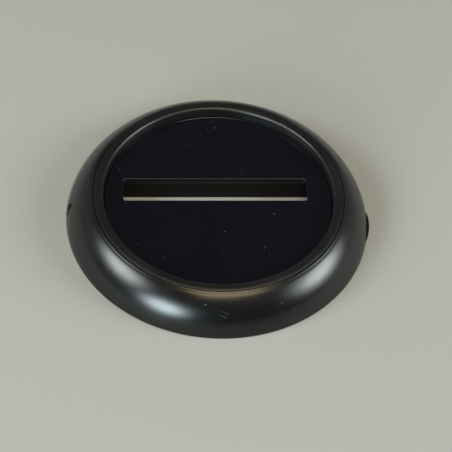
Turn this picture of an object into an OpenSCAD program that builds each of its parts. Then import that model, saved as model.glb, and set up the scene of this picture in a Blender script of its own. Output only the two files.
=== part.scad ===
// Low, round desk grommet that stands on the desk around a cable hole.
// A rounded trim ring is stuck down with a foam ring. A collar turns inside it on a ledge,
// held from below by a retaining ring, and carries a slotted cap that lifts out.
// Millimetres, +Z up. The origin is the centre of the foot, on the desk's surface, and the
// cable slot runs along X.

/* [Trim ring] */
// Diameter at the foot
trim_d = 80; // [79.6:0.1:80.6]
// Lean of the wall at the foot, in degrees
foot_draft = 9.5; // [8:0.5:11]
// Radius of the rounded flank
flank_r = 14.4; // [14:0.1:15]
// Slope at which the flank runs into the crest, in degrees
crest_start = 57; // [55:1:59]
// Radius of the crest
crest_r = 4.1; // [3.8:0.1:4.3]
// Thickness of the moulded wall
wall = 2.2; // [1.8:0.1:2.4]
// Number of ribs in the hollow underside
rib_count = 24; // [8:2:24]

/* [Collar] */
// Outer radius of the collar's lip
lip_r = 32.65; // [32.4:0.05:32.8]
// Outer radius of the collar's barrel, which turns in the trim ring
barrel_r = 31.5; // [31.4:0.05:31.6]
// Height of the shelf that the cap rests on
shelf_z = 5.4; // [5:0.1:5.6]

/* [Cap] */
// Diameter of the cap
cap_d = 60; // [59.6:0.1:60]
// Thickness of the cap's plate
plate_t = 2; // [1.6:0.1:2.4]

/* [Cable slot] */
// Clear length of the slot
slot_l = 48.3; // [30:0.1:48.5]
// Clear width of the slot
slot_w = 7.5; // [5:0.1:8]
// Place of the slot's centre along its length
slot_x = -0.7; // [-0.8:0.1:0.8]
// Place of the slot's centre across its length
slot_y = 3.1; // [0:0.1:3.2]

/* [Hidden] */
$fn = 96;

run_gap = 0.1; // running fit between the pieces that turn or lift
joint_gap = 0.3; // free room beside them
clear = 1; // extra length of a cutting solid

// Rounded outline of the ring: a flank arc from the desk, then a tighter crest arc.
foot_r = trim_d / 2;
flank_c = [foot_r - flank_r * cos(foot_draft), -flank_r * sin(foot_draft)];
crest_c = flank_c + (flank_r - crest_r) * [cos(crest_start), sin(crest_start)];
crest_z = crest_c[1] + crest_r;

bore_r = lip_r + run_gap; // trim ring around the collar's lip
hub_r = barrel_r + run_gap; // trim ring around the collar's barrel
hub_out_r = hub_r + 1.8;
hub_foot_z = 3.2;
ledge_z = 7.5; // ledge that the collar's lip turns on
rib_t = 1.2;
rib_root = 0.3; // depth to which a rib runs into the walls beside it

foam_t = 1.6;
foam_in_r = 34.2;
foam_out_r = 37.2;
tab_out_r = foot_r + 0.45; // rounded pull tab, just proud of the foot
tab_round_r = 17;
tab_t = 1;
tab_a = -5.2; // direction of the tab, in degrees
tab_half_a = 7.4;

nick_a = 179.5; // moulding gate scar on the flank, opposite the tab
nick_slope = 20;
nick_size = [4, 3.2];
nick_depth = 0.4;
sprue_size = [2.2, 1.4];
sprue_depth = 0.15; // how far below the flank the stub of the gate ends

collar_in_r = cap_d / 2 + run_gap;
collar_foot_z = 1.4;
shelf_in_r = 28.6;
shelf_t = 1.2;
lip_round_r = 0.8;
lip_start = acos((collar_in_r + lip_round_r - crest_c[0]) / (crest_r - lip_round_r));
lip_c = crest_c + (crest_r - lip_round_r) * [cos(lip_start), sin(lip_start)];
key_angles = [45, 135, 225, 315];
key_w = 5.4;

ring_out_r = 33;
ring_z = 1.6;
ring_t = 1.3;

cap_z = shelf_z + run_gap; // underside of the plate
cap_top_z = cap_z + plate_t;
cap_edge = 0.4; // chamfer around the plate's top
key_foot_z = 3.6;
skirt_r = shelf_in_r - joint_gap;
skirt_t = 0.7;
skirt_foot_z = 4.2;
brace_x = 14; // ribs under the plate, either side of the middle
brace_t = 1.2;

chute_wall = 0.9;
chute_foot_z = 0.1;
chute_end_room = 0.6; // the chute is open at its ends, a little past the slot
chute_flange_w = 2.5;
chute_flange_l = 44;
chute_flange_t = 1.2;
chute_l = slot_l + 2 * chute_end_room + 2 * chute_wall;
chute_w = slot_w + 2 * chute_wall;
slot_corner_r = 0.6;

function arc(c, r, from, to, steps) =
    [for (i = [0:steps]) let (a = from + (to - from) * i / steps) c + r * [cos(a), sin(a)]];

// Outline of the rim, moved inwards by inset, from the desk to the top of the crest.
function rim_points(inset) = concat(
    arc(flank_c, flank_r - inset, asin(-flank_c[1] / (flank_r - inset)), crest_start, 10),
    [for (i = [1:5]) arc(crest_c, crest_r - inset, crest_start, 90, 5)[i]]
);

// Everything under the rim's outline, as far in as the axis.
module rim_section(inset) {
    polygon(concat([[0, 0]], rim_points(inset), [[0, crest_z - inset]]));
}

// Part of a section between two radii.
module between(r_in, r_out, from_z, to_z) {
    translate([r_in, from_z]) square([r_out - r_in, to_z - from_z]);
}

module tube(r_in, r_out, from_z, to_z) {
    rotate_extrude() between(r_in, r_out, from_z, to_z);
}

// Ring sector centred on angle a.
module sector(r_in, r_out, from_z, to_z, a, half_a) {
    rotate([0, 0, a - half_a])
        rotate_extrude(angle = 2 * half_a) between(r_in, r_out, from_z, to_z);
}

module rounded_slot(l, w, r) {
    square([l - 2 * r, w], center = true);
    square([l, w - 2 * r], center = true);
    for (x = [-1, 1], y = [-1, 1]) translate([x * (l / 2 - r), y * (w / 2 - r)]) circle(r);
}

module at_slot(z) {
    translate([slot_x, slot_y, z]) children();
}

// Puts children on the flank at the gate scar, with +Z into the wall and +X up the flank.
module at_nick() {
    p = flank_c + flank_r * [cos(nick_slope), sin(nick_slope)];
    rotate([0, 0, nick_a]) translate([p[0], 0, p[1]]) rotate([0, -90 - nick_slope, 0]) children();
}

module trim_section() {
    difference() {
        rim_section(0);
        between(0, hub_r, -clear, crest_z + clear);
        between(0, bore_r, ledge_z, crest_z + clear);
        between(0, hub_out_r, -clear, hub_foot_z);
        intersection() {
            rim_section(wall);
            between(hub_out_r, foot_r, -clear, crest_z);
        }
    }
}

module trim_ribs() {
    intersection() {
        rotate_extrude() intersection() {
            rim_section(wall - rib_root);
            between(hub_out_r - rib_root, foot_r, foam_t, crest_z);
        }
        for (i = [0:rib_count - 1]) rotate([0, 0, (i + 0.5) * 360 / rib_count])
            translate([hub_r, -rib_t / 2, 0]) cube([foot_r - hub_r, rib_t, crest_z]);
    }
}

// Bullnose ring, hollow below, with the ledge and hub that the collar turns in.
module trim_ring() {
    color([0.12, 0.125, 0.12]) {
        difference() {
            union() {
                rotate_extrude() trim_section();
                difference() {
                    trim_ribs();
                    translate([0, 0, -clear]) cylinder(h = hub_foot_z + clear, r = hub_out_r);
                }
            }
            sector(foam_out_r, tab_out_r + clear, -clear, tab_t + run_gap, tab_a, tab_half_a + 0.2);
            at_nick() difference() {
                translate([0, 0, -clear]) linear_extrude(nick_depth + clear)
                    rounded_slot(nick_size[0], nick_size[1], nick_size[1] * 0.45);
                translate([0, 0, sprue_depth]) linear_extrude(nick_depth)
                    rounded_slot(sprue_size[0], sprue_size[1], sprue_size[1] * 0.45);
            }
        }
    }
}

// Self-adhesive foam under the ribs, with a pull tab that shows at the foot.
module foam_ring() {
    color([0.06, 0.06, 0.06]) {
        tube(foam_in_r, foam_out_r, 0, foam_t);
        intersection() {
            sector(foam_out_r - clear, tab_out_r + clear, 0, tab_t, tab_a, tab_half_a);
            rotate([0, 0, tab_a]) translate([tab_out_r - tab_round_r, 0, 0])
                cylinder(h = tab_t, r = tab_round_r);
        }
    }
}

// Turning inner ring: rounded lip, barrel and the shelf for the cap.
module collar() {
    lip_top = arc(crest_c, crest_r, acos((lip_r - crest_c[0]) / crest_r), lip_start, 4);
    lip_inner = [for (i = [1:6]) arc(lip_c, lip_round_r, lip_start, 180, 6)[i]];
    color([0.1, 0.105, 0.1]) difference() {
        rotate_extrude() polygon(concat(
            [[lip_r, ledge_z + run_gap]], lip_top, lip_inner,
            [
                [collar_in_r, shelf_z], [shelf_in_r, shelf_z],
                [shelf_in_r, shelf_z - shelf_t], [collar_in_r, shelf_z - shelf_t],
                [collar_in_r, collar_foot_z], [barrel_r, collar_foot_z],
                [barrel_r, ledge_z + run_gap]
            ]
        ));
        for (a = key_angles) rotate([0, 0, a])
            translate([shelf_in_r - clear, -key_w / 2 - joint_gap, shelf_z - shelf_t - clear])
                cube([collar_in_r - shelf_in_r + clear, key_w + 2 * joint_gap, shelf_t + 2 * clear]);
    }
}

// Ring pressed on the barrel from below, so that the collar can't be pulled out.
module retaining_ring() {
    color([0.2, 0.2, 0.2]) tube(barrel_r, ring_out_r, ring_z, ring_z + ring_t);
}

// Flat slotted plate with a centring skirt, four keys and four braces below.
module cap() {
    color([0.05, 0.055, 0.07]) difference() {
        union() {
            rotate_extrude() polygon([
                [0, cap_z], [cap_d / 2, cap_z], [cap_d / 2, cap_top_z - cap_edge],
                [cap_d / 2 - cap_edge, cap_top_z], [0, cap_top_z]
            ]);
            tube(skirt_r - skirt_t, skirt_r, skirt_foot_z, cap_z + plate_t / 2);
            for (a = key_angles) intersection() {
                tube(skirt_r + joint_gap, cap_d / 2 - joint_gap, key_foot_z, cap_z + plate_t / 2);
                rotate([0, 0, a]) translate([0, -key_w / 2, 0]) cube([foot_r, key_w, cap_top_z]);
            }
            intersection() {
                translate([0, 0, skirt_foot_z]) cylinder(h = plate_t, r = skirt_r - skirt_t / 2);
                for (x = [-1, 1]) translate([x * brace_x - brace_t / 2, -foot_r, 0])
                    cube([brace_t, trim_d, cap_z + plate_t / 2]);
            }
        }
        at_slot(0) linear_extrude(cap_top_z + clear) rounded_slot(slot_l, slot_w, slot_corner_r);
        at_slot(cap_z / 2) cube([chute_l, chute_w, cap_z], center = true);
        at_slot(cap_z / 2) cube([chute_flange_l, chute_w + 2 * chute_flange_w, cap_z], center = true);
    }
}

// Guide bonded under the plate: two long walls that line the slot down to the desk, and a frame
// that joins them. Its ends are open below the frame.
module slot_chute() {
    chute_h = cap_z - chute_foot_z;
    color([0.09, 0.085, 0.075]) difference() {
        union() {
            at_slot(chute_foot_z + chute_h / 2) cube([chute_l, chute_w, chute_h], center = true);
            at_slot(cap_z - chute_flange_t / 2)
                cube([chute_flange_l, chute_w + 2 * chute_flange_w, chute_flange_t], center = true);
        }
        at_slot(cap_z / 2) cube([slot_l + 2 * chute_end_room, slot_w, cap_z + clear], center = true);
        at_slot((cap_z - chute_flange_t) / 2)
            cube([chute_l + clear, slot_w, cap_z - chute_flange_t], center = true);
    }
}

trim_ring();
foam_ring();
collar();
retaining_ring();
cap();
slot_chute();
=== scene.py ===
"""Looks of the desk grommet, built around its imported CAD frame. Lengths are in metres."""

import math

import bmesh
import bpy
from mathutils import Matrix, Vector, noise


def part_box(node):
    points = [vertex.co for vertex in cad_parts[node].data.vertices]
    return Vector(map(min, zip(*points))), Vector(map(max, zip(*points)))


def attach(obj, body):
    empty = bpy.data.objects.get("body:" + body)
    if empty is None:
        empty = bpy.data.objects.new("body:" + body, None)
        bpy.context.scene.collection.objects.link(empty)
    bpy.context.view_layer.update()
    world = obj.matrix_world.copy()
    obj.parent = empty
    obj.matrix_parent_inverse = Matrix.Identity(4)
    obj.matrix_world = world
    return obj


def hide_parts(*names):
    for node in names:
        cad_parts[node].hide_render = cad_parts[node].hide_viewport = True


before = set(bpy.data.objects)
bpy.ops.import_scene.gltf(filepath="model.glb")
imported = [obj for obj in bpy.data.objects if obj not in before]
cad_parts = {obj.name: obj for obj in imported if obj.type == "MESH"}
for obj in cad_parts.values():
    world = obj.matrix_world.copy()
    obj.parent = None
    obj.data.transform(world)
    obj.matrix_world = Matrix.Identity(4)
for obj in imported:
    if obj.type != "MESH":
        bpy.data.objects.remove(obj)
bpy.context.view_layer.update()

MM = 0.001

# ---------------------------------------------------------------- sizes, taken from the frame
trim_low, trim_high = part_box("trim_ring")
collar_low, collar_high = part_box("collar")
cap_low, cap_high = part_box("cap")
chute_low, chute_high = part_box("slot_chute")
foam_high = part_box("foam_ring")[1]
ring_low, ring_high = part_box("retaining_ring")

FOOT_R = (trim_high.y - trim_low.y) / 2
LIP_R = collar_high.x
CAP_R = cap_high.x
CAP_TOP = cap_high.z
PLATE_T = 2.0 * MM
PLATE_Z = CAP_TOP - PLATE_T
CHUTE_WALL = 0.9 * MM
CHUTE_END_ROOM = 0.6 * MM
SLOT_L = chute_high.x - chute_low.x - 2 * (CHUTE_WALL + CHUTE_END_ROOM)
FLANGE_W = 2.5 * MM
FLANGE_T = 1.2 * MM
FLANGE_L = 44 * MM
SLOT_W = chute_high.y - chute_low.y - 2 * (CHUTE_WALL + FLANGE_W)
SLOT_X = (chute_high.x + chute_low.x) / 2
SLOT_Y = (chute_high.y + chute_low.y) / 2
SLOT_CORNER = 0.6 * MM
FOAM_T = foam_high.z
FOAM_IN_R = 34.2 * MM
FOAM_OUT_R = 37.2 * MM

# The trim ring's rounded outline: a flank arc from the foot, then a tighter crest arc.
FLANK_R = 14.4 * MM
CREST_R = 4.1 * MM
FOOT_DRAFT = math.radians(9.5)
CREST_START = math.radians(57)
WALL = 2.2 * MM
FLANK_C = Vector((FOOT_R - FLANK_R * math.cos(FOOT_DRAFT), -FLANK_R * math.sin(FOOT_DRAFT)))
CREST_C = FLANK_C + (FLANK_R - CREST_R) * Vector((math.cos(CREST_START), math.sin(CREST_START)))

RUN_GAP = 0.1 * MM
BORE_R = LIP_R + RUN_GAP
RING_OVERHANG = 1.5 * MM
BARREL_R = -ring_low.x - RING_OVERHANG
HUB_R = BARREL_R + RUN_GAP
HUB_OUT_R = HUB_R + 1.8 * MM
HUB_FOOT_Z = 3.2 * MM
LEDGE_Z = 7.5 * MM
COLLAR_IN_R = CAP_R + RUN_GAP
SHELF_Z = PLATE_Z - RUN_GAP
SHELF_T = 1.2 * MM
SHELF_IN_R = 28.6 * MM
KEY_ANGLES = [math.radians(a) for a in (45, 135, 225, 315)]
KEY_W = 5.4 * MM
KEY_ROOM = 0.3 * MM
FOOT_ROUND = 0.3 * MM
GAP_EDGE = 0.04 * MM  # eased edge on either side of the gap between the ring and the collar

# The lip's inner edge is a tighter arc that runs into the crest.
LIP_ROUND = 0.8 * MM
LIP_START = math.acos((COLLAR_IN_R + LIP_ROUND - CREST_C[0]) / (CREST_R - LIP_ROUND))
LIP_C = CREST_C + (CREST_R - LIP_ROUND) * Vector((math.cos(LIP_START), math.sin(LIP_START)))

# Shallow rings in the crest: a soft valley in the collar, eased edges at the gap between the
# rings, and a second valley outside it: (radius, depth, half width).
CREST_LINES = [
    (31.3 * MM, 0.09 * MM, 0.4 * MM),
    (32.7 * MM, 0.02 * MM, 0.25 * MM),
    (33.5 * MM, 0.04 * MM, 0.3 * MM),
]
# A low bead around the cap's edge.
BEAD_R = 29.6 * MM
BEAD_H = 0.1 * MM
BEAD_HALF = 0.16 * MM
BEAD_ROWS = 17
BEAD_REACH = 2.4  # how far the rows reach from the bead, in half widths

TAB_A = math.radians(-5.2)
TAB_HALF = math.radians(7.4)
TAB_T = 0.9 * MM
TAB_ROUND = 17 * MM
SCAR_A = math.radians(179.5)
SCAR_SLOPE = math.radians(20)
# The scar's pit and stub, in millimetres.
PIT_HALF = (1.9, 2.1)
PIT_DEPTH = 0.5
STUB_HEIGHT = 0.62


# ---------------------------------------------------------------- mesh tools
def polar(r, a, z):
    return Vector((r * math.cos(a), r * math.sin(a), z))


def even_angles(count):
    return [2 * math.pi * i / count for i in range(count)]


def arc(centre, r, start, end, steps):
    """Points (radius, height) along an arc of a section."""
    turn = (end - start) / steps
    return [
        Vector((centre[0] + r * math.cos(start + turn * i), centre[1] + r * math.sin(start + turn * i)))
        for i in range(steps + 1)
    ]


def eased(corners, r=0.2 * MM, steps=3):
    """A closed section whose corners are rounded. A corner may give its own radius as a third value."""
    out = []
    for i, corner in enumerate(corners):
        here = Vector(corner[:2])
        before = Vector(corners[i - 1][:2])
        after = Vector(corners[(i + 1) % len(corners)][:2])
        radius = corner[2] if len(corner) > 2 else r
        back, ahead = before - here, after - here
        if radius <= 0 or back.length < 1e-7 or ahead.length < 1e-7:
            out.append(here)
            continue
        cut = min(radius, back.length * 0.45, ahead.length * 0.45)
        a, b = here + back.normalized() * cut, here + ahead.normalized() * cut
        for s in range(steps + 1):
            t = s / steps
            out.append(a * (1 - t) ** 2 + here * 2 * t * (1 - t) + b * t**2)
    return out


def add_grid(bm, rows, closed=True):
    """Joins rows of points, each a closed loop, into a skin. Open skins get flat ends."""
    verts = [[bm.verts.new(p) for p in row] for row in rows]
    count = len(rows[0])
    last = len(rows) if closed else len(rows) - 1
    for i in range(last):
        a, b = verts[i], verts[(i + 1) % len(rows)]
        for j in range(count):
            k = (j + 1) % count
            bm.faces.new((a[j], b[j], b[k], a[k]))
    if not closed:
        bm.faces.new(verts[0])
        bm.faces.new(list(reversed(verts[-1])))


def add_lathe(bm, section, angles):
    add_grid(bm, [[polar(p[0], a, p[1]) for p in section] for a in angles])


def add_sector(bm, section, start, end, steps):
    angles = [start + (end - start) * i / steps for i in range(steps + 1)]
    add_grid(bm, [[polar(p[0], a, p[1]) for p in section] for a in angles], closed=False)


def add_prism(bm, section, thickness, angle):
    """A flat plate whose outline is a section, standing along a radius."""
    turn = Matrix.Rotation(angle, 4, "Z")
    rows = [[turn @ Vector((p[0], side * thickness / 2, p[1])) for p in section] for side in (-1, 1)]
    add_grid(bm, rows, closed=False)


def add_bar(bm, low, high, r):
    """A bar with rounded edges."""
    made = bmesh.ops.create_cube(bm, size=1.0)
    size = high - low
    for v in made["verts"]:
        v.co = Vector((v.co[k] * size[k] for k in range(3))) + (low + high) / 2
    edges = list({e for v in made["verts"] for e in v.link_edges})
    bmesh.ops.bevel(bm, geom=edges, offset=r, segments=2, affect="EDGES", profile=0.5)


def finish_piece(name, bm, body, material, nodes=()):
    """Turns the mesh into a smooth-shaded piece that rides on a body."""
    bmesh.ops.recalc_face_normals(bm, faces=bm.faces)
    mesh = bpy.data.meshes.new(name)
    bm.to_mesh(mesh)
    bm.free()
    mesh.polygons.foreach_set("use_smooth", [True] * len(mesh.polygons))
    piece = bpy.data.objects.new(name, mesh)
    bpy.context.scene.collection.objects.link(piece)
    mesh.materials.append(material)
    weighted = piece.modifiers.new("even_shading", "WEIGHTED_NORMAL")
    weighted.keep_sharp = True
    weighted.weight = 80
    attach(piece, body)
    if nodes:
        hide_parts(*nodes)
    return piece


# ---------------------------------------------------------------- material tools
class Nodes:
    """Short calls for building a node tree."""

    def __init__(self, name):
        self.material = bpy.data.materials.new(name)
        self.material.use_nodes = True
        self.tree = self.material.node_tree
        self.shader = self.tree.nodes["Principled BSDF"]
        self.place = self.add("ShaderNodeTexCoord").outputs["Object"]

    def add(self, kind, **settings):
        node = self.tree.nodes.new(kind)
        for key, value in settings.items():
            setattr(node, key, value)
        return node

    def link(self, source, target):
        self.tree.links.new(source, target)

    def value(self, socket, source):
        if hasattr(source, "links"):
            self.link(source, socket)
        else:
            socket.default_value = source

    def math(self, operation, a, b=0.0, clamp=False):
        node = self.add("ShaderNodeMath", operation=operation, use_clamp=clamp)
        self.value(node.inputs[0], a)
        self.value(node.inputs[1], b)
        return node.outputs[0]

    def stretched(self, scale, turn=0.0):
        """Object coordinates scaled per axis, after a turn about Z."""
        spin = self.add("ShaderNodeMapping", vector_type="POINT")
        spin.inputs["Rotation"].default_value = (0, 0, turn)
        self.link(self.place, spin.inputs["Vector"])
        grow = self.add("ShaderNodeMapping", vector_type="POINT")
        grow.inputs["Scale"].default_value = scale
        self.link(spin.outputs[0], grow.inputs["Vector"])
        return grow.outputs[0]

    def noise(self, scale, detail=3.0, rough=0.55, where=None):
        node = self.add("ShaderNodeTexNoise")
        node.inputs["Scale"].default_value = scale
        node.inputs["Detail"].default_value = detail
        node.inputs["Roughness"].default_value = rough
        self.link(where or self.place, node.inputs["Vector"])
        return node.outputs["Fac"]

    def band(self, source, low, high, to_low=0.0, to_high=1.0):
        """Source between low and high, spread over to_low to to_high."""
        node = self.add("ShaderNodeMapRange", interpolation_type="SMOOTHSTEP")
        self.value(node.inputs["Value"], source)
        for key, number in zip(("From Min", "From Max", "To Min", "To Max"), (low, high, to_low, to_high)):
            node.inputs[key].default_value = number
        return node.outputs["Result"]

    def specks(self, scale, size, share):
        """Sparse round dots: cells per metre, dot radius in cells, share of cells that have one."""
        node = self.add("ShaderNodeTexVoronoi", feature="F1")
        node.inputs["Scale"].default_value = scale
        self.link(self.place, node.inputs["Vector"])
        near = self.band(node.outputs["Distance"], size, size * 0.5)
        parts = self.add("ShaderNodeSeparateColor")
        self.link(node.outputs["Color"], parts.inputs[0])
        chosen = self.math("LESS_THAN", parts.outputs[0], share)
        return self.math("MULTIPLY", near, chosen)

    def scratches(self, turn, fine, long, cut):
        """Thin broken lines along one direction."""
        lines = self.noise(1.0, 1.0, 0.4, self.stretched((long, fine, long), turn))
        patches = self.noise(90.0 + 40.0 * turn, 2.0)
        strong = self.band(lines, cut, cut + 0.04)
        return self.math("MULTIPLY", strong, self.band(patches, 0.5, 0.62))

    def stroke(self, centre, turn, tilt, long, wide):
        """One short scuff: its centre, its direction (about Z, then down from the flat), its half sizes."""
        node = self.add("ShaderNodeMapping", vector_type="TEXTURE")
        node.inputs["Location"].default_value = centre
        node.inputs["Rotation"].default_value = (0, tilt, turn)
        node.inputs["Scale"].default_value = (long, wide, wide)
        self.link(self.place, node.inputs["Vector"])
        away = self.add("ShaderNodeVectorMath", operation="LENGTH")
        self.link(node.outputs[0], away.inputs[0])
        solid = self.band(away.outputs["Value"], 1.0, 0.5)
        return self.math("MULTIPLY", solid, self.band(self.noise(500.0, 1.0), 0.3, 0.7, 0.35, 0.6))

    def mix(self, share, a, b):
        node = self.add("ShaderNodeMix", data_type="RGBA")
        self.value(node.inputs["Factor"], share)
        for socket, colour in ((node.inputs["A"], a), (node.inputs["B"], b)):
            if hasattr(colour, "links"):
                self.link(colour, socket)
            else:
                socket.default_value = (*colour, 1)
        return node.outputs["Result"]

    def bump(self, height, strength, distance, below=None):
        node = self.add("ShaderNodeBump")
        node.inputs["Strength"].default_value = strength
        node.inputs["Distance"].default_value = distance
        self.link(height, node.inputs["Height"])
        if below:
            self.link(below, node.inputs["Normal"])
        return node.outputs["Normal"]


SCUFF_COLOUR = (0.07, 0.07, 0.072)
LINT_COLOUR = (0.2, 0.195, 0.185)
# Painted shade: the near-black colour laid into the gate scar's pit.
PIT_PAINTED_SHADE_COLOUR = (0.001, 0.001, 0.001)


def moulded_plastic(name, colour, roughness, spread, dust, scuffing, strokes=(), specular=0.5, torn_with_painted_shade=False):
    """Black moulded plastic: faint mottling, handling scuffs, dust, and a slight orange-peel skin.

    Where asked for, a layer on the mesh paints shade into the gate scar's pit: a darker colour and weaker
    reflection, with the rougher surface of the broken plastic.
    """
    n = Nodes(name)
    mottle = n.noise(70.0, 4.0)
    skin = n.noise(1500.0, 2.0)
    scuffs = n.math(
        "ADD",
        n.scratches(0.35, 5200.0, 130.0, 0.66),
        n.scratches(1.9, 4300.0, 160.0, 0.67),
        clamp=True,
    )
    scuffs = n.math("MULTIPLY", scuffs, scuffing)
    for stroke in strokes:
        scuffs = n.math("MAXIMUM", scuffs, n.stroke(*stroke))
    lint = n.math("ADD", n.specks(420.0, 0.09, 0.1 * dust), n.specks(900.0, 0.12, 0.06 * dust), clamp=True)
    pale = tuple(c * 1.7 for c in colour)
    tone = n.mix(n.band(mottle, 0.35, 0.7, 0.0, 0.55), colour, pale)
    tone = n.mix(n.math("MULTIPLY", scuffs, 0.25), tone, SCUFF_COLOUR)
    tone = n.mix(n.math("MULTIPLY", lint, 0.45), tone, LINT_COLOUR)
    gloss = n.band(mottle, 0.3, 0.75, roughness - spread, roughness + spread)
    gloss = n.math("ADD", gloss, n.math("MULTIPLY", scuffs, 0.16))
    gloss = n.math("ADD", gloss, n.math("MULTIPLY", lint, 0.4), clamp=True)
    n.shader.inputs["Specular IOR Level"].default_value = specular
    # Painted shade in the gate scar's pit: darker colour and weaker reflection where the layer says; the
    # added roughness is the broken plastic's own.
    if torn_with_painted_shade:
        scar = n.add("ShaderNodeAttribute", attribute_name="scar").outputs["Fac"]
        tone = n.mix(scar, tone, PIT_PAINTED_SHADE_COLOUR)
        gloss = n.math("ADD", gloss, n.math("MULTIPLY", scar, 0.6), clamp=True)
        n.link(n.band(scar, 0.0, 0.8, specular, 0.05), n.shader.inputs["Specular IOR Level"])
    n.link(tone, n.shader.inputs["Base Color"])
    n.link(gloss, n.shader.inputs["Roughness"])
    peel = n.bump(skin, 0.12, 0.02 * MM)
    n.link(n.bump(n.math("SUBTRACT", lint, scuffs), 0.25, 0.03 * MM, peel), n.shader.inputs["Normal"])
    n.shader.inputs["IOR"].default_value = 1.5
    return n.material


def foam(name):
    """Closed-cell foam: fine open pits on the cut faces."""
    n = Nodes(name)
    cells = n.add("ShaderNodeTexVoronoi", feature="F1")
    cells.inputs["Scale"].default_value = 3800.0
    n.link(n.place, cells.inputs["Vector"])
    pit = n.band(cells.outputs["Distance"], 0.1, 0.55)
    # The pits are painted darker as well as bumped: painted shade in the cells.
    n.link(n.mix(pit, (0.001, 0.001, 0.001), (0.006, 0.006, 0.0055)), n.shader.inputs["Base Color"])
    n.link(n.band(n.noise(600.0), 0.3, 0.7, 0.8, 0.95), n.shader.inputs["Roughness"])
    n.shader.inputs["Specular IOR Level"].default_value = 0.12
    n.link(n.bump(pit, 0.6, 0.08 * MM), n.shader.inputs["Normal"])
    return n.material


# The scuff on the front of the rim, as two short strokes: centre, turn, tilt, half length, half width.
FRONT_SCUFF = [
    (tuple(polar(36.85 * MM, math.radians(270.0), 6.9 * MM)), -0.15, 0.35, 1.9 * MM, 0.3 * MM),
    (tuple(polar(37.5 * MM, math.radians(269.3), 6.1 * MM)), -0.15, 0.35, 1.6 * MM, 0.25 * MM),
]

ring_plastic = moulded_plastic(
    "ring_plastic",
    (0.0014, 0.0018, 0.0017),
    roughness=0.25,
    spread=0.03,
    dust=0.6,
    scuffing=0.2,
    strokes=FRONT_SCUFF,
    # Paints shade into the gate scar's pit.
    torn_with_painted_shade=True,
)
collar_plastic = moulded_plastic(
    "collar_plastic", (0.0046, 0.0050, 0.0048), roughness=0.36, spread=0.04, dust=0.6, scuffing=0.2
)
cap_plastic = moulded_plastic(
    "cap_plastic", (0.0018, 0.0020, 0.0040), roughness=0.13, spread=0.02, dust=1.0, scuffing=0.12
)
# A darker, less reflective copy of the black plastic for the slot walls and the hidden band: painted shade
# for the deep slot.
inner_plastic = moulded_plastic(
    "inner_plastic",
    (0.001, 0.0009, 0.0007),
    roughness=0.5,
    spread=0.06,
    dust=0.3,
    scuffing=0.2,
    specular=0.2,
)
black_foam = foam("black_foam")


# ---------------------------------------------------------------- trim ring
def line_depth(r):
    """How deep the turned lines cut the crest at this radius."""
    return sum(depth * math.exp(-(((r - at) / half) ** 2)) for at, depth, half in CREST_LINES)


def outline(start_z):
    """The rim from the foot up to the bore, cut by the turned lines."""
    first = math.asin((start_z - FLANK_C[1]) / FLANK_R)
    last = math.acos((BORE_R + GAP_EDGE - CREST_C[0]) / CREST_R)
    points = arc(FLANK_C, FLANK_R, first, CREST_START - math.radians(12), 60)
    points += arc(FLANK_C, FLANK_R, CREST_START - math.radians(12), CREST_START, 36)[1:]
    points += arc(CREST_C, CREST_R, CREST_START, last, 20)[1:]
    return [p - Vector((0, line_depth(p[0]))) for p in points]


def trim_section(foot_z):
    """The ring's closed section. Under the tab, the foot is raised to foot_z."""
    inner_r = FLANK_R - WALL
    roof_start = math.asin((foot_z - FLANK_C[1]) / inner_r)
    roof_end = math.acos((HUB_OUT_R + 0.5 * MM - FLANK_C[0]) / inner_r)
    roof = arc(FLANK_C, inner_r, roof_end, roof_start, 14)
    rim = outline(foot_z + FOOT_ROUND)
    foot_out = FLANK_C[0] + math.sqrt(FLANK_R**2 - (foot_z - FLANK_C[1]) ** 2)
    foot = arc((rim[0][0] - FOOT_ROUND, foot_z + FOOT_ROUND), FOOT_ROUND, -math.pi / 2, 0, 4)[:-1]
    inside = eased(
        [
            (rim[-1][0], rim[-1][1], 0),
            (BORE_R, rim[-1][1] - GAP_EDGE, 0.02 * MM),
            (BORE_R, LEDGE_Z, 0.1 * MM),
            (HUB_R, LEDGE_Z, 0.15 * MM),
            (HUB_R, HUB_FOOT_Z, 0.2 * MM),
            (HUB_OUT_R, HUB_FOOT_Z, 0.2 * MM),
            (HUB_OUT_R, roof[0][1] - 0.4 * MM, 0.4 * MM),
            (roof[0][0], roof[0][1], 0),
        ]
    )[1:-1]
    return foot + rim + inside + roof[:-1] + [Vector((min(roof[-1][0], foot_out), foot_z))]


def tab_rise(a):
    """How thick the pull tab is at this angle. It thins out towards its two sides."""
    off = abs((a - TAB_A + math.pi) % (2 * math.pi) - math.pi) / TAB_HALF
    return TAB_T * math.sqrt(max(0.0, 1 - off**4))


def scar_place(a, p):
    """Where a point of the section lies from the scar's centre: along the foot, and up the flank."""
    side = ((a - SCAR_A + math.pi) % (2 * math.pi) - math.pi) * FOOT_R
    slope = math.atan2(p[1] - FLANK_C[1], p[0] - FLANK_C[0])
    return side / MM, FLANK_R * (slope - SCAR_SLOPE) / MM


def scar_depth(side, up):
    """The rough pit where the moulding gate was broken off, with a bent stub left standing in it."""
    away = math.hypot(side / PIT_HALF[0], up / PIT_HALF[1])
    if away > 1.3:
        return 0.0
    pit = PIT_DEPTH * max(0.0, 1 - away**4) * (0.75 - 0.25 * math.tanh(side))
    stub = STUB_HEIGHT * math.exp(-(((side - 0.25 - 0.5 * up) / 0.42) ** 2) - (up / 0.9) ** 2)
    rough = 0.16 * noise.noise(Vector((side, up, 0)) * 2.1) * max(0.0, 1.3 - away)
    return pit - stub + rough


def scar_shade(side, up):
    """Painted shade in the gate scar's pit: a dark hook painted round the back of the stub."""
    back = math.exp(-(((math.hypot(side - 0.1, up - 0.1) - 1.35) / 0.5) ** 2))
    return back * (0.5 - 0.5 * math.tanh((side - 0.4) * 1.6))


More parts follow.
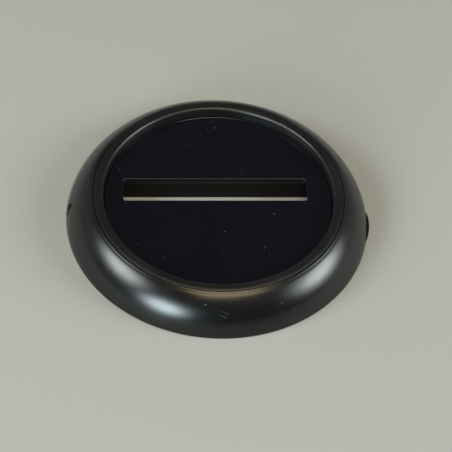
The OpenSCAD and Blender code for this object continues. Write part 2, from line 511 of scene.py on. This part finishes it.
def trim_angles():
    """Even steps, with narrow ones across the gate scar and along the tab."""
    angles = set(even_angles(232))
    angles |= {SCAR_A + math.radians(i * 0.16) for i in range(-20, 21)}
    angles |= {(TAB_A + TAB_HALF * i / 24) % (2 * math.pi) for i in range(-25, 26)}
    near = sorted(angles)
    return [a for i, a in enumerate(near) if i == 0 or a - near[i - 1] > math.radians(0.03)]


def trim_ring():
    rows = []
    pit_painted_shades = []
    for a in trim_angles():
        rise = tab_rise(a)
        section = trim_section(rise + RUN_GAP if rise > 0 else 0.0)
        row = []
        for p in section:
            spot = scar_place(a, p)
            out = (p - FLANK_C).normalized()
            outside = abs((p - FLANK_C).length - FLANK_R) < 0.05 * MM and p[1] > 0.2 * MM
            if outside:
                p = p - out * scar_depth(*spot) * MM
            row.append(polar(p[0], a, p[1]))
            pit_painted_shades.append(scar_shade(*spot) if outside else 0.0)
        rows.append(row)
    bm = bmesh.new()
    add_grid(bm, rows)
    # Keeps the painted shade of the scar's pit on the mesh for its material.
    scar = bm.verts.layers.float.new("scar")
    for vert, shade in zip(bm.verts, pit_painted_shades):
        vert[scar] = shade
    finish_piece("trim_ring_shell", bm, "base", ring_plastic, ["trim_ring"])


def trim_ribs():
    """Ribs in the hollow underside, which carry the foam."""
    root = 0.3 * MM
    inner_r = FLANK_R - WALL + root
    count = 24
    start = math.asin((FOAM_T - FLANK_C[1]) / inner_r)
    end = math.acos((HUB_OUT_R - root - FLANK_C[0]) / inner_r)
    section = arc(FLANK_C, inner_r, start, end, 10)
    section += [
        Vector((HUB_OUT_R - root, HUB_FOOT_Z + root)),
        Vector((HUB_OUT_R + root, HUB_FOOT_Z)),
        Vector((HUB_OUT_R + root, FOAM_T)),
    ]
    bm = bmesh.new()
    for i in range(count):
        add_prism(bm, section, 1.2 * MM, (i + 0.5) * 2 * math.pi / count)
    finish_piece("trim_ring_ribs", bm, "base", ring_plastic)


# ---------------------------------------------------------------- foam ring
def foam_ring():
    bm = bmesh.new()
    bulge = 0.12 * MM
    section = eased(
        [
            (FOAM_IN_R, 0.0, 0.1 * MM),
            (FOAM_OUT_R, 0.0, 0.1 * MM),
            (FOAM_OUT_R + bulge, FOAM_T / 2, 0.5 * MM),
            (FOAM_OUT_R, FOAM_T, 0.1 * MM),
            (FOAM_IN_R, FOAM_T, 0.1 * MM),
            (FOAM_IN_R - bulge, FOAM_T / 2, 0.5 * MM),
        ]
    )
    add_lathe(bm, section, even_angles(192))
    centre_out = (foam_high.x - TAB_ROUND) / math.cos(TAB_A)
    inner = FOAM_OUT_R - 1.0 * MM
    rows = []
    steps = 36
    for i in range(steps + 1):
        turn = TAB_HALF * (2 * i / steps - 1)
        reach = centre_out * math.cos(turn) + math.sqrt(TAB_ROUND**2 - (centre_out * math.sin(turn)) ** 2)
        top = max(tab_rise(TAB_A + turn), 0.1 * MM)
        tab = eased([(inner, 0.0), (reach, 0.0), (reach, top), (inner, top)], 0.12 * MM)
        rows.append([polar(p[0], TAB_A + turn, p[1]) for p in tab])
    add_grid(bm, rows, closed=False)
    finish_piece("foam_ring_pad", bm, "base", black_foam, ["foam_ring"])


# ---------------------------------------------------------------- collar
def collar():
    start = math.acos((LIP_R - GAP_EDGE - CREST_C[0]) / CREST_R)
    lip = arc(CREST_C, CREST_R, start, LIP_START, 44)
    lip += arc(LIP_C, LIP_ROUND, LIP_START, math.pi, 20)[1:]
    lip = [p - Vector((0, line_depth(p[0]))) for p in lip]
    barrel = eased(
        [
            (lip[-1][0], lip[-1][1], 0),
            (COLLAR_IN_R, collar_low.z, 0.2 * MM),
            (BARREL_R, collar_low.z, 0.3 * MM),
            (BARREL_R, LEDGE_Z + RUN_GAP, 0.1 * MM),
            (LIP_R, LEDGE_Z + RUN_GAP, 0.1 * MM),
            (LIP_R, lip[0][1] - GAP_EDGE, 0.02 * MM),
            (lip[0][0], lip[0][1], 0),
        ]
    )[1:-1]
    bm = bmesh.new()
    add_lathe(bm, lip + barrel, even_angles(256))
    shelf = eased(
        [
            (SHELF_IN_R, SHELF_Z - SHELF_T),
            (COLLAR_IN_R + 0.3 * MM, SHELF_Z - SHELF_T, 0),
            (COLLAR_IN_R + 0.3 * MM, SHELF_Z, 0),
            (SHELF_IN_R, SHELF_Z),
        ]
    )
    half_notch = (KEY_W / 2 + KEY_ROOM) / SHELF_IN_R
    for a in KEY_ANGLES:
        add_sector(bm, shelf, a + half_notch, a + math.pi / 2 - half_notch, 40)
    finish_piece("collar_ring", bm, "turning_ring", collar_plastic, ["collar"])


def retaining_ring():
    bm = bmesh.new()
    out_r = ring_high.x
    section = eased(
        [
            (BARREL_R, ring_low.z, 0.35 * MM),
            (out_r, ring_low.z, 0.35 * MM),
            (out_r, ring_high.z, 0.1 * MM),
            (BARREL_R, ring_high.z, 0.05 * MM),
        ]
    )
    add_lathe(bm, section, even_angles(192))
    finish_piece(
        "retaining_ring_band", bm, "turning_ring", inner_plastic, ["retaining_ring"]
    )


# ---------------------------------------------------------------- cap
CORNER_STEPS = 8
LONG_STEPS = 96
SHORT_STEPS = 16


def slot_loop(grow, z, corner):
    """The slot's outline, grown outwards, as points counted from the middle of its right end."""
    half_l, half_w = SLOT_L / 2 + grow, SLOT_W / 2 + grow
    corner = max(corner, 0.05 * MM)
    stops = []
    for sx, sy, start in ((1, 1, 0), (-1, 1, 1), (-1, -1, 2), (1, -1, 3)):
        centre = Vector((sx * (half_l - corner), sy * (half_w - corner)))
        stops.append(arc(centre, corner, start * math.pi / 2, (start + 1) * math.pi / 2, CORNER_STEPS))
    points = []
    for i, stop in enumerate(stops):
        points += stop
        ahead = stops[(i + 1) % 4][0]
        steps = LONG_STEPS if i % 2 == 0 else SHORT_STEPS
        points += [stop[-1].lerp(ahead, s / steps) for s in range(1, steps)]
    shift = SHORT_STEPS // 2 - 1
    points = points[-shift:] + points[:-shift]
    return [Vector((SLOT_X + p[0], SLOT_Y + p[1], z)) for p in points]


def disc_loop(r, z):
    """A circle with as many points as slot_loop, so that a plate can run from one to the other."""
    count = len(slot_loop(0, 0, SLOT_CORNER))
    return [polar(r, a, z) for a in even_angles(count)]


def cap_plate():
    edge = 0.2 * MM
    lip = 0.16 * MM
    rim = arc((CAP_R - edge, CAP_TOP - edge), edge, 0, math.pi / 2, 5)
    rows = [disc_loop(CAP_R - 0.15 * MM, PLATE_Z), disc_loop(CAP_R, PLATE_Z + 0.15 * MM)]
    rows += [disc_loop(p[0], p[1]) for p in rim]
    for i in range(BEAD_ROWS):
        off = BEAD_REACH * (1 - 2 * i / (BEAD_ROWS - 1))
        rows.append(disc_loop(BEAD_R + BEAD_HALF * off, CAP_TOP + BEAD_H * math.exp(-off * off)))
    rows.append(slot_loop(lip + 0.1 * MM, CAP_TOP, SLOT_CORNER + lip))
    for p in arc((0, 0), lip, math.pi / 2, math.pi, 5):
        grow = lip + p[0]
        rows.append(slot_loop(grow, CAP_TOP - lip + p[1], SLOT_CORNER + grow))
    rows.append(slot_loop(0, PLATE_Z + 0.05 * MM, SLOT_CORNER))
    rows.append(slot_loop(0.05 * MM, PLATE_Z, SLOT_CORNER))
    bm = bmesh.new()
    add_grid(bm, rows)
    finish_piece("cap_plate", bm, "lift_out_cap", cap_plastic, ["cap"])


def cap_underside():
    """Centring skirt, keys and braces below the plate."""
    bm = bmesh.new()
    skirt_r = SHELF_IN_R - KEY_ROOM
    skirt_t = 0.7 * MM
    skirt_z = 4.2 * MM
    into = PLATE_Z + 0.3 * MM
    skirt_in = skirt_r - skirt_t
    skirt = [(skirt_in, skirt_z), (skirt_r, skirt_z), (skirt_r, into, 0), (skirt_in, into, 0)]
    add_lathe(bm, eased(skirt), even_angles(192))
    key_foot = cap_low.z
    key_in, key_out = SHELF_IN_R, CAP_R - KEY_ROOM
    key = eased(
        [(key_in, key_foot, 0.3 * MM), (key_out, key_foot, 0.5 * MM), (key_out, into, 0), (key_in, into, 0)]
    )
    half_key = KEY_W / 2 / key_out
    for a in KEY_ANGLES:
        add_sector(bm, key, a - half_key, a + half_key, 12)
    brace_x, brace_t = 14 * MM, 1.2 * MM
    reach = math.sqrt((skirt_r - skirt_t / 2) ** 2 - (brace_x + brace_t / 2) ** 2)
    flange_y = SLOT_W / 2 + CHUTE_WALL + FLANGE_W
    for x in (-brace_x, brace_x):
        for y0, y1 in ((-reach, SLOT_Y - flange_y), (SLOT_Y + flange_y, reach)):
            low = Vector((x - brace_t / 2, y0, skirt_z))
            high = Vector((x + brace_t / 2, y1, into))
            add_bar(bm, low, high, 0.15 * MM)
    finish_piece("cap_underside", bm, "lift_out_cap", cap_plastic)


def slot_chute():
    """Two long walls down to the desk, joined by flanges and by a bridge past each end of the slot."""
    bm = bmesh.new()
    top = chute_high.z
    half_l = SLOT_L / 2 + CHUTE_END_ROOM + CHUTE_WALL
    wall_in, wall_out = SLOT_W / 2, SLOT_W / 2 + CHUTE_WALL
    for side in (-1, 1):
        y_in, y_out = SLOT_Y + side * wall_in, SLOT_Y + side * wall_out
        y_flange = SLOT_Y + side * (wall_out + FLANGE_W)
        for x0, x1, y0, y1, z0 in (
            (-half_l, half_l, y_in, y_out, chute_low.z),
            (-FLANGE_L / 2, FLANGE_L / 2, y_out - side * 0.2 * MM, y_flange, top - FLANGE_T),
        ):
            low = Vector((SLOT_X + x0, min(y0, y1), z0))
            high = Vector((SLOT_X + x1, max(y0, y1), top))
            add_bar(bm, low, high, 0.12 * MM)
        x_out, x_in = SLOT_X + side * half_l, SLOT_X + side * (half_l - CHUTE_WALL)
        low = Vector((min(x_in, x_out), SLOT_Y - wall_in - 0.2 * MM, top - FLANGE_T))
        high = Vector((max(x_in, x_out), SLOT_Y + wall_in + 0.2 * MM, top))
        add_bar(bm, low, high, 0.12 * MM)
    finish_piece("slot_chute_guide", bm, "lift_out_cap", inner_plastic, ["slot_chute"])


trim_ring()
trim_ribs()
foam_ring()
collar()
retaining_ring()
cap_plate()
cap_underside()
slot_chute()


# ---------------------------------------------------------------- floor, light and camera
def direction(azimuth, elevation):
    """Unit vector towards a place seen from the object. Azimuth 0 is the front, 90 the right."""
    a, e = math.radians(azimuth), math.radians(elevation)
    return Vector((math.sin(a) * math.cos(e), -math.cos(a) * math.cos(e), math.sin(e)))


def floor():
    n = Nodes("pale_floor")
    n.shader.inputs["Base Color"].default_value = (0.293, 0.303, 0.298, 1)
    n.shader.inputs["Roughness"].default_value = 0.75
    half = 3.0
    mesh = bpy.data.meshes.new("floor")
    corners = [(-half, -half, 0), (half, -half, 0), (half, half, 0), (-half, half, 0)]
    mesh.from_pydata(corners, [], [(0, 1, 2, 3)])
    mesh.materials.append(n.material)
    ground = bpy.data.objects.new("floor", mesh)
    bpy.context.scene.collection.objects.link(ground)


def panel(name, azimuth, elevation, wide, high, radiance, colour, distance=1.0, shape="ELLIPSE"):
    """A light that faces the object. wide and high are in degrees as seen from it."""
    light = bpy.data.lights.new(name, "AREA")
    light.shape = shape
    light.size = 2 * distance * math.tan(math.radians(wide / 2))
    light.size_y = 2 * distance * math.tan(math.radians(high / 2))
    area = light.size * light.size_y * (math.pi / 4 if shape == "ELLIPSE" else 1.0)
    light.energy = radiance * math.pi * area
    light.color = colour
    lamp = bpy.data.objects.new(name, light)
    towards = direction(azimuth, elevation)
    lamp.location = towards * distance
    lamp.rotation_mode = "QUATERNION"
    lamp.rotation_quaternion = towards.to_track_quat("Z", "Y")
    bpy.context.scene.collection.objects.link(lamp)


def softbox(name, azimuth, elevation, wide, high, radiance, colour):
    """A diffused lamp: a bright middle that fades out through a wider, dimmer panel behind it."""
    panel(name, azimuth, elevation, wide, high, radiance, colour)
    panel(name + "_edge", azimuth, elevation, wide * 1.6, high * 1.7, radiance * 0.3, colour, 1.05)


def studio():
    world = bpy.data.worlds.new("room")
    world.use_nodes = True
    world.node_tree.nodes["Background"].inputs["Color"].default_value = (0.9, 0.97, 1.0, 1)
    world.node_tree.nodes["Background"].inputs["Strength"].default_value = 0.09
    bpy.context.scene.world = world
    softbox("left_box", -78, 33, 25, 19, 11.3, (0.92, 1.0, 0.97))
    softbox("right_box", 78, 26, 28, 21, 11.0, (0.92, 1.0, 0.97))
    softbox("window", -36, 16, 22, 18, 16.5, (0.78, 0.93, 1.0))
    panel("ceiling", 14, 71, 32, 31, 5.6, (1.0, 0.76, 0.49), shape="RECTANGLE")
    for name, azimuth in (("left_wall", -118), ("right_wall", 115)):
        panel(name, azimuth, 10, 50, 40, 0.22, (1.0, 1.0, 0.95), 1.2, shape="RECTANGLE")
    bpy.context.scene.view_settings.view_transform = "Standard"


def camera():
    """The reference view: from the front, half way up, with a slight roll."""
    azimuth, elevation, roll = -5.59, 49.39, math.radians(4.24)
    distance = 0.4
    back = direction(azimuth, elevation)
    lens = bpy.data.cameras.new("camera")
    lens.sensor_width = 36.0
    lens.lens = 119.8
    lens.shift_x = 0.0197
    lens.shift_y = -0.0200
    lens.clip_start, lens.clip_end = 0.01, 20
    cam = bpy.data.objects.new("camera", lens)
    cam.location = back * distance
    cam.rotation_mode = "QUATERNION"
    aim = (-back).to_track_quat("-Z", "Y")
    cam.rotation_quaternion = aim @ Matrix.Rotation(roll, 3, "Z").to_quaternion()
    bpy.context.scene.collection.objects.link(cam)
    bpy.context.scene.camera = cam


floor()
studio()
camera()
